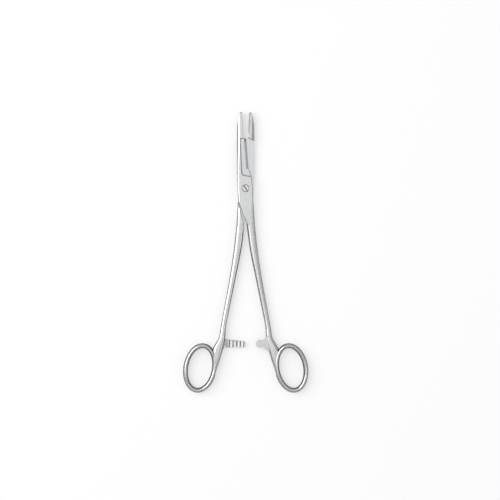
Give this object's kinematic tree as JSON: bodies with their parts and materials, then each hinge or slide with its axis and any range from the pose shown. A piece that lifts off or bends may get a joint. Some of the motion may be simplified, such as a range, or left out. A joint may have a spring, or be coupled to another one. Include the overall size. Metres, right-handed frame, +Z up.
{
  "type": "surgical needle holder",
  "caption": "Ring-handled needle holder with suture scissors behind the jaws, a lap joint on a slotted screw and a ratchet between the shanks.",
  "frame": {"origin": "on the pivot axis, in the plane of the back plate's outer face, on which the instrument lies", "axes": "+Y along the instrument from the pivot to the jaws, +X across it to the right seen from the front, +Z up out of the surface it lies on, along the pivot"},
  "size_m": [0.083, 0.1856, 0.006],
  "materials": {
    "forged_steel": "satin polished stainless steel",
    "screw_steel": "turned stainless steel, ground flush",
    "hard_metal": "matt cross-cut hard metal"
  },
  "bodies": {
    "back": {"back_half": "forged_steel", "joint_screw": "screw_steel", "jaw_insert": "hard_metal"},
    "front": {"front_half": "forged_steel"}
  },
  "joints": [
    {"name": "joint_pivot", "type": "hinge", "parent": "back", "child": "front", "pos_m": [0, 0, 0.003], "axis": [0, 0, 1], "range_deg": [-5.4, 34.6]}
  ]
}
